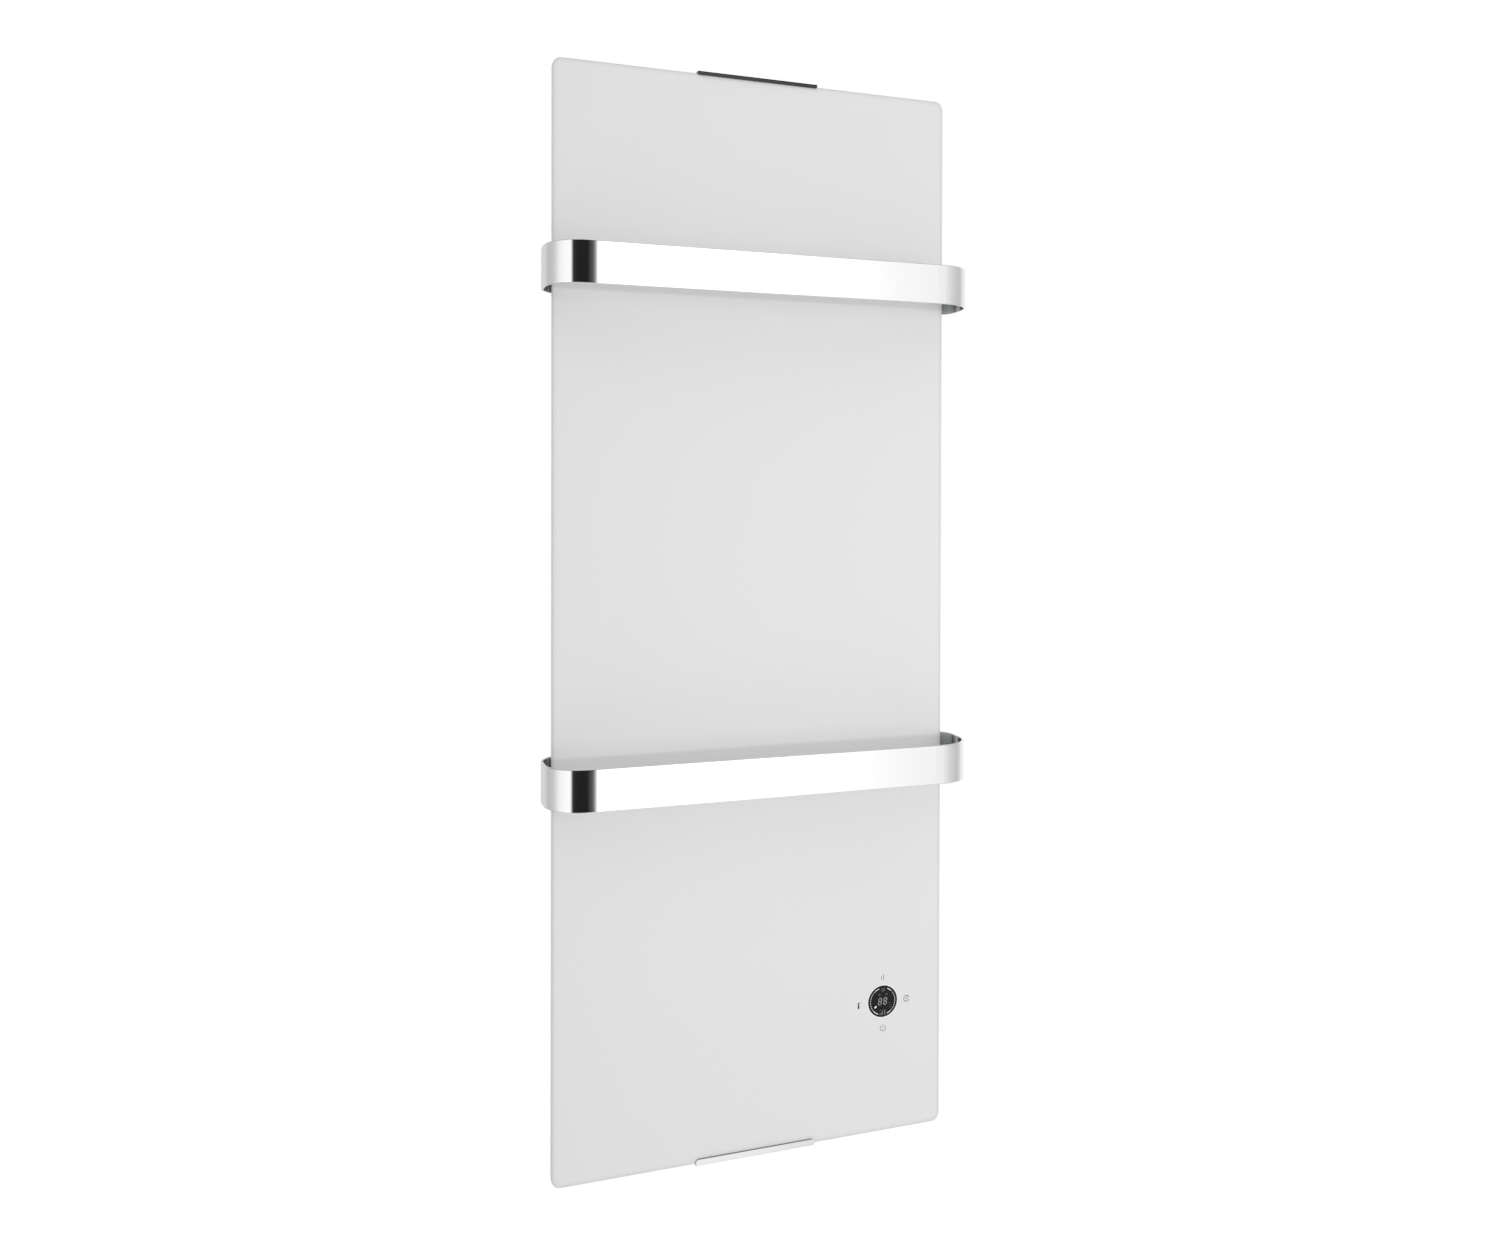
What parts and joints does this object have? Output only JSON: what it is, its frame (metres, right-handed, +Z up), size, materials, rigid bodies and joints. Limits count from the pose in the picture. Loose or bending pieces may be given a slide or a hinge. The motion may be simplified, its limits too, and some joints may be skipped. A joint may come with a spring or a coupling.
{
  "type": "wall-mounted glass convector heater with towel rails",
  "caption": "Tall flat white glass panel heater for a wall, with flat steel towel bars looped round the glass, a round touch display and a shallow vented back housing.",
  "frame": {"origin": "on the wall plane, at the centre of the rectangle of four wall screws, level with the glass centre", "axes": "+Z up, +Y into the wall, +X to the right for someone facing the heater"},
  "size_m": [0.422, 0.117, 1.0539],
  "materials": {
    "white_glass": "tempered glass printed white on the back, polished edge",
    "brushed_stainless": "stainless steel brushed along its length",
    "polished_stainless": "polished stainless sheet",
    "clear_liner": "thin silicone strip",
    "white_enamel": "fine-textured white powder coat",
    "galvanised_sheet": "galvanised steel sheet",
    "zinc_screws": "zinc-plated steel",
    "fin_aluminium": "plain extruded aluminium",
    "rod_sheath": "heat-darkened steel tube",
    "ceramic": "glazed steatite",
    "bright_aluminium": "bright rolled aluminium sheet",
    "bonding_foam": "black double-sided foam tape",
    "black_plastic": "moulded black plastic",
    "grey_plastic": "moulded light grey plastic",
    "board_green": "green circuit board lacquer",
    "touch_foam": "conductive foam",
    "display_dark": "black display face",
    "relay_black": "relay case",
    "transformer_yellow": "transformer wrapped in yellow tape",
    "capacitor_blue": "dipped film capacitor",
    "connector_white": "nylon connector housing",
    "brass": "plain brass",
    "lead_brown": "brown silicone insulation",
    "lead_blue": "blue silicone insulation",
    "lead_green": "green and yellow insulation",
    "lead_black": "black silicone insulation",
    "lead_grey": "grey sheath",
    "black_rubber": "black rubber",
    "rocker_black": "satin black plastic"
  },
  "bodies": {
    "wall_brackets": {"upper_wall_bracket": "galvanised_sheet", "lower_wall_bracket": "galvanised_sheet"},
    "heater": {"glass_panel": "white_glass", "bonding_tape": "bonding_foam", "chassis_plate": "galvanised_sheet", "back_cover": "white_enamel", "upper_glass_clip": "polished_stainless", "lower_glass_clip": "polished_stainless", "upper_clip_liner": "clear_liner", "lower_clip_liner": "clear_liner", "clip_screws": "zinc_screws", "cover_screws": "zinc_screws", "upper_towel_rail": "brushed_stainless", "lower_towel_rail": "brushed_stainless", "rail_standoffs": "zinc_screws", "rail_screws": "zinc_screws", "wall_bumpers": "black_rubber", "bumper_screws": "zinc_screws", "lower_element_fins": "fin_aluminium", "upper_element_fins": "fin_aluminium", "lower_heater_rod": "rod_sheath", "upper_heater_rod": "rod_sheath", "element_brackets": "galvanised_sheet", "element_bushes": "ceramic", "bracket_screws": "zinc_screws", "reflector_plate": "bright_aluminium", "reflector_posts": "zinc_screws", "reflector_screws": "zinc_screws", "cutout_bracket": "galvanised_sheet", "thermal_cutout": "ceramic", "control_box": "grey_plastic", "control_screws": "zinc_screws", "touch_board": "board_green", "touch_board_screws": "zinc_screws", "touch_pads": "touch_foam", "display_module": "black_plastic", "display_lens": "display_dark", "power_board": "board_green", "board_posts": "brass", "board_screws": "zinc_screws", "power_relay": "relay_black", "board_transformer": "transformer_yellow", "mains_capacitor": "capacitor_blue", "board_connectors": "connector_white", "terminal_block": "connector_white", "terminal_screws": "brass", "earth_stud": "brass", "earth_nut": "brass", "cord_gland": "black_plastic", "gland_nut": "black_plastic", "switch_body": "rocker_black", "switch_spades": "brass", "sensor_holder": "grey_plastic", "room_sensor": "black_plastic", "live_leads": "lead_brown", "neutral_lead": "lead_blue", "earth_lead": "lead_green", "element_leads": "lead_black", "control_leads": "lead_grey"},
    "rocker": {"switch_rocker": "rocker_black"}
  },
  "joints": [
    {"name": "lift_off", "type": "slide", "parent": "wall_brackets", "child": "heater", "axis": [0, 0, 1], "range_m": [0, 0.012]},
    {"name": "power_rocker", "type": "hinge", "parent": "heater", "child": "rocker", "pos_m": [0.1776, -0.033, -0.462], "axis": [0, 1, 0], "range_deg": [0, 22]}
  ]
}
